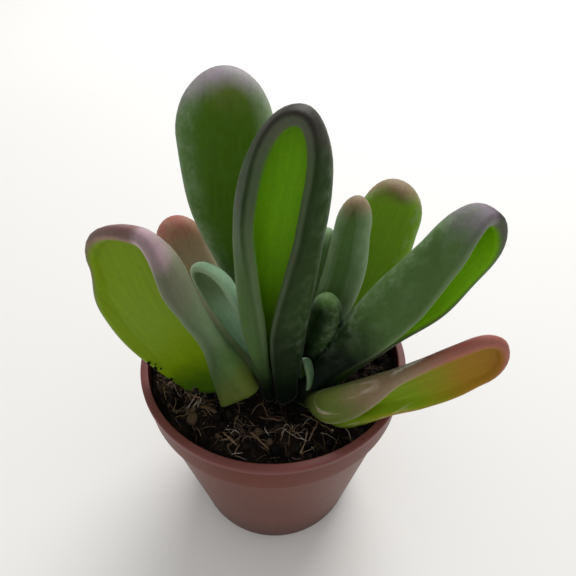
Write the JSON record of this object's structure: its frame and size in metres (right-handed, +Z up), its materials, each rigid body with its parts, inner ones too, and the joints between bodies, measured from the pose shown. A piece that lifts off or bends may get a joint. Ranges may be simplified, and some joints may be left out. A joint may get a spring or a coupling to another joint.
{
  "type": "potted paddle plant",
  "caption": "Young paddle plant with thick leaves folded back along both edges, growing in peaty soil in a small thin-walled plastic nursery pot.",
  "frame": {"origin": "centre of the pot's flat underside", "axes": "+Z up, -Y towards the side the plant shows to the front, +X to its right as seen from the front"},
  "size_m": [0.0767, 0.06, 0.1107],
  "materials": {
    "pot": "satin terracotta brown",
    "soil": "near-black peat with tan fibres",
    "stem": "matte green, hidden by the leaf bases",
    "leaf_green": "smooth, waxy, slightly translucent",
    "leaf_yellow_green": "smooth, waxy, slightly translucent",
    "leaf_dark_green": "smooth, waxy",
    "leaf_blue_green": "smooth with pale bloom",
    "leaf_tan": "smooth, waxy, ageing",
    "leaf_red": "smooth, waxy"
  },
  "bodies": {
    "root": {"pot": "pot", "soil": "soil", "stem": "stem", "leaf_front": "leaf_green", "leaf_back": "leaf_green", "leaf_left": "leaf_yellow_green", "leaf_right": "leaf_dark_green", "leaf_low_right": "leaf_tan", "leaf_back_right": "leaf_green", "leaf_back_left": "leaf_red", "leaf_small_left": "leaf_blue_green", "leaf_inner": "leaf_green", "leaf_inner_back": "leaf_green", "leaf_small_right": "leaf_dark_green", "leaf_bud": "leaf_blue_green"}
  },
  "joints": []
}
